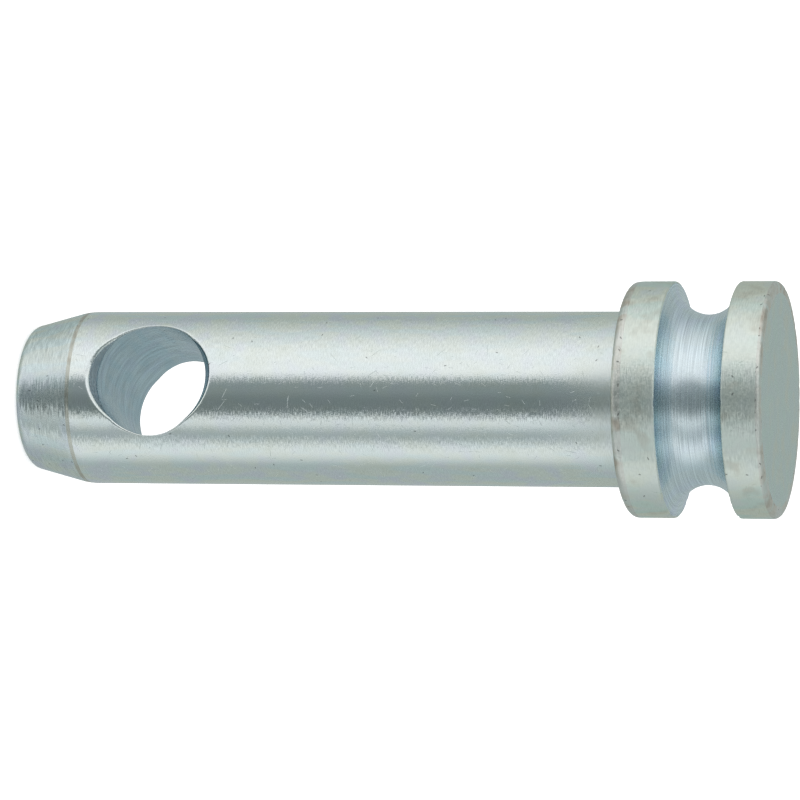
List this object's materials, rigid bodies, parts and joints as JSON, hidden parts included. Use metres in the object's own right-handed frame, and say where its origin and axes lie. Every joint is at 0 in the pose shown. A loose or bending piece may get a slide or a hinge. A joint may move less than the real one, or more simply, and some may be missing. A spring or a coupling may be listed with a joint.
{
  "type": "clevis pin",
  "caption": "Plated steel clevis pin: plain round shank, tapered tip with a countersunk cross hole for a linch pin, and a head of two collars with a half-round groove between them.",
  "frame": {"origin": "centre of the flat at the tip, on the pin's axis", "axes": "+Z along the pin's axis from the tip to the head; the cross hole runs along Y"},
  "size_m": [0.0254, 0.0254, 0.0838],
  "materials": {
    "plated_steel": "zinc plated and passivated over turned and ground steel, fine rings round the shank, coarser turning marks on taper and head"
  },
  "bodies": {
    "root": {"clevis_pin": "plated_steel"}
  },
  "joints": []
}
